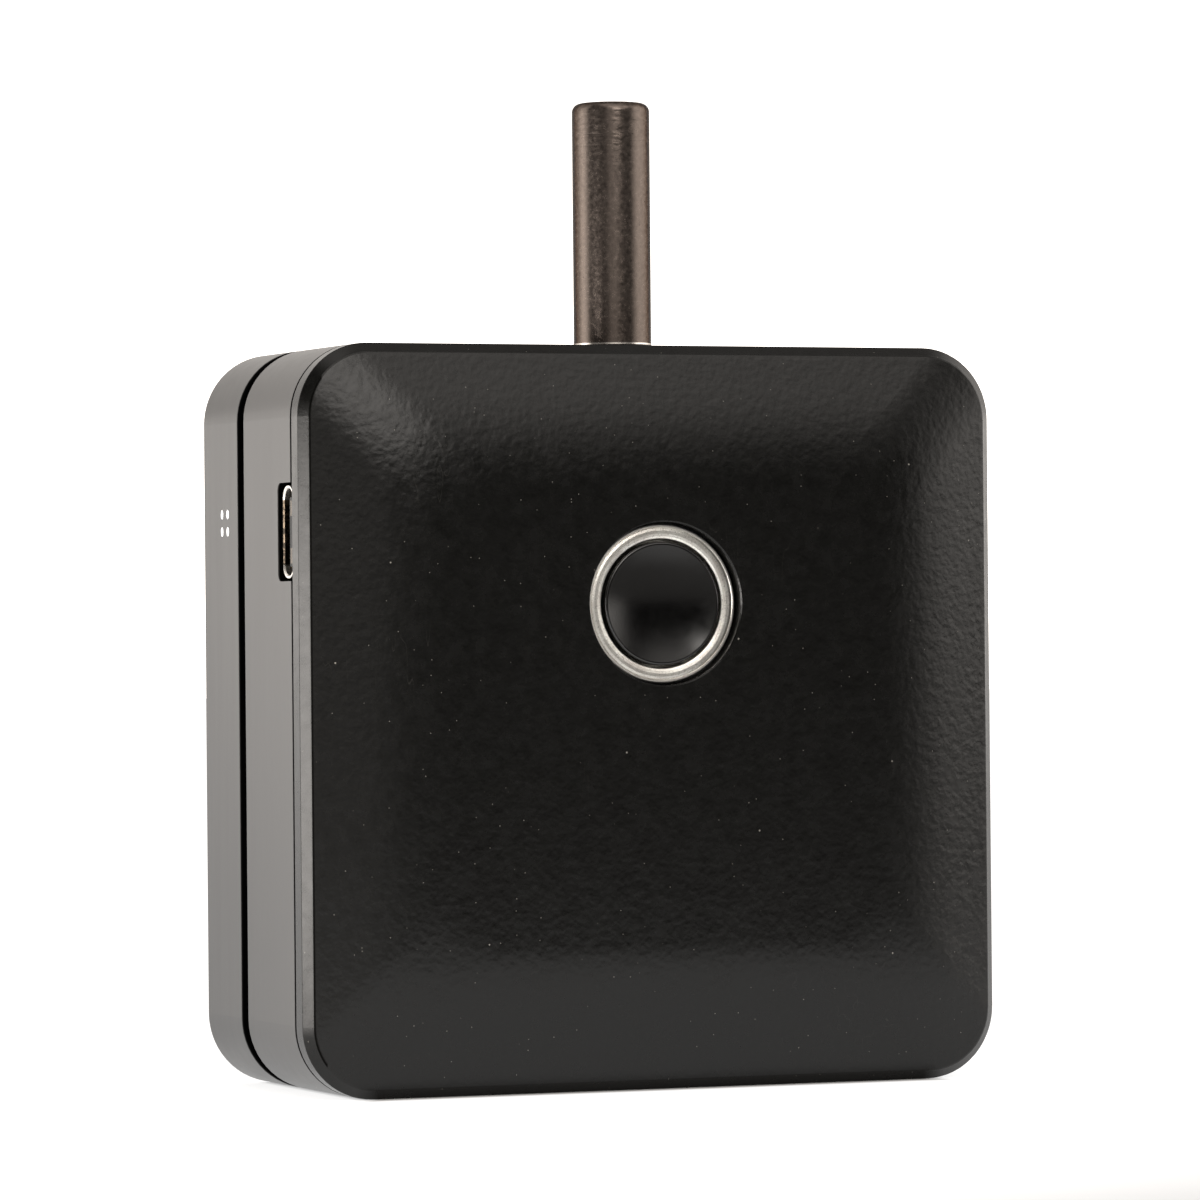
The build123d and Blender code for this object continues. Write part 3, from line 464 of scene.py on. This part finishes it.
# ---------------------------------------------------------------------- floor
FLOOR_REACH = 4.0
FLOOR_DROP = 0.02 * MM
FADE_NEAR, FADE_FAR = 0.09, 0.19      # where the floor dims, ahead of the object and to its right
PAINTED_SHADOW_HALF = (29.0 * MM, 13.5 * MM)      # half the width and depth that touch the floor; the floor's glow stops there, a painted shadow


def floor_paint():
    """Pale floor with its own glow, which fades out ahead of the object and stops under it, a painted shadow
    there.
    """
    material, tree, shader = new_material("floor")
    at = where(tree)
    tone = remap(tree, noise(tree, 900.0, 2.0), 0.3, 0.7, 0.0, 1.0)
    pale = blend_colour(tree, tone, (0.38, 0.38, 0.38), (0.42, 0.42, 0.42))
    toward_front = calc(tree, "SUBTRACT", calc(tree, "MULTIPLY", at["X"], 0.38),
                        calc(tree, "MULTIPLY", at["Y"], 0.93))
    dim = remap(tree, toward_front, FADE_NEAR, FADE_FAR, 0.0, 1.0)
    # Painted shadow: the glow stops under the object's footprint.
    over_x = calc(tree, "SUBTRACT", calc(tree, "ABSOLUTE", at["X"], 0.0), PAINTED_SHADOW_HALF[0])
    over_y = calc(tree, "SUBTRACT", calc(tree, "ABSOLUTE", at["Y"], 0.0), PAINTED_SHADOW_HALF[1])
    outside_painted_shadow = remap(tree, calc(tree, "MAXIMUM", over_x, over_y), 0.0, 2.5 * MM, 0.0, 1.0)
    glow = remap(tree, dim, 0.0, 1.0, 0.80, 0.0)
    tree.links.new(blend_colour(tree, dim, pale, (0.22, 0.22, 0.22)), shader.inputs["Base Color"])
    tree.links.new(calc(tree, "MULTIPLY", glow, outside_painted_shadow), shader.inputs["Emission Strength"])
    shader.inputs["Emission Color"].default_value = (*WHITE, 1.0)
    shader.inputs["Roughness"].default_value = 0.9
    shader.inputs["Specular IOR Level"].default_value = 0.1
    return material


floor_mesh = bpy.data.meshes.new("floor")
floor_mesh.from_pydata([(-FLOOR_REACH, -FLOOR_REACH, 0), (FLOOR_REACH, -FLOOR_REACH, 0),
                        (FLOOR_REACH, FLOOR_REACH, 0), (-FLOOR_REACH, FLOOR_REACH, 0)], [], [(0, 1, 2, 3)])
floor = bpy.data.objects.new("floor", floor_mesh)
scene.collection.objects.link(floor)
floor.location.z = -FLOOR_DROP
floor.data.materials.append(floor_paint())


# ---------------------------------------------------------------------- light
def studio():
    """White backdrop behind, broad soft light above and to both sides, and a dim room ahead."""
    world = bpy.data.worlds.new("studio")
    world.use_nodes = True
    sky = world.node_tree
    background = sky.nodes["Background"]
    direction = add(sky, "ShaderNodeSeparateXYZ", inputs={
        "Vector": add(sky, "ShaderNodeTexCoord").outputs["Generated"]}).outputs
    x, y, z = direction["X"], direction["Y"], direction["Z"]
    right_side = remap(sky, x, 0.62, 0.88, 0.0, 3.0)
    left_side = calc(sky, "MULTIPLY", remap(sky, x, 0.05, -0.25, 0.0, 0.8),
                     remap(sky, x, -0.62, -0.42, 0.0, 1.0))
    top = remap(sky, z, 0.10, 0.62, 0.0, 1.5)
    in_middle = calc(sky, "MULTIPLY", remap(sky, x, 0.40, 0.75, 1.0, 0.0),
                     remap(sky, x, -0.50, -0.20, 0.0, 1.0))
    top = calc(sky, "MULTIPLY", calc(sky, "MULTIPLY", top, top), in_middle)
    ahead = calc(sky, "ADD", calc(sky, "ADD", right_side, left_side), calc(sky, "ADD", top, 0.03))
    backdrop = calc(sky, "MULTIPLY", remap(sky, z, 0.0, 0.12, 2.9, 1.25),
                    remap(sky, x, -0.70, -0.86, 1.0, 2.3))
    strength = add(sky, "ShaderNodeMix", data_type="FLOAT", inputs={
        0: remap(sky, y, 0.0, 0.35, 0.0, 1.0), 2: ahead, 3: backdrop})
    overhead = remap(sky, z, 0.68, 0.88, 1.0, 0.2)
    sky.links.new(calc(sky, "MULTIPLY", strength.outputs[0], overhead), background.inputs["Strength"])
    background.inputs["Color"].default_value = (1.0, 0.945, 0.89, 1.0)
    return world


def softbox(name, place_at, look_at, size, power):
    """A rectangular area light that faces a point."""
    light = bpy.data.objects.new(name, bpy.data.lights.new(name, "AREA"))
    scene.collection.objects.link(light)
    light.data.shape = "RECTANGLE"
    light.data.size, light.data.size_y = size
    light.data.energy = power
    light.data.color = (1.0, 0.95, 0.90)
    light.location = place_at
    light.rotation_euler = (Vector(look_at) - Vector(place_at)).to_track_quat("-Z", "Y").to_euler()


scene.world = studio()
softbox("top_box", (-0.10, -0.30, 1.00), (0, 0, 0.05), (0.8, 0.5), 1.0)
softbox("front_box", (-0.015, -0.33, 0.20), (0.0, -0.01, 0.05), (0.13, 0.13), 0.22)
softbox("left_box", (-0.148, -0.060, 0.033), (-0.036, -0.013, 0.033), (0.06, 0.066), 0.16)
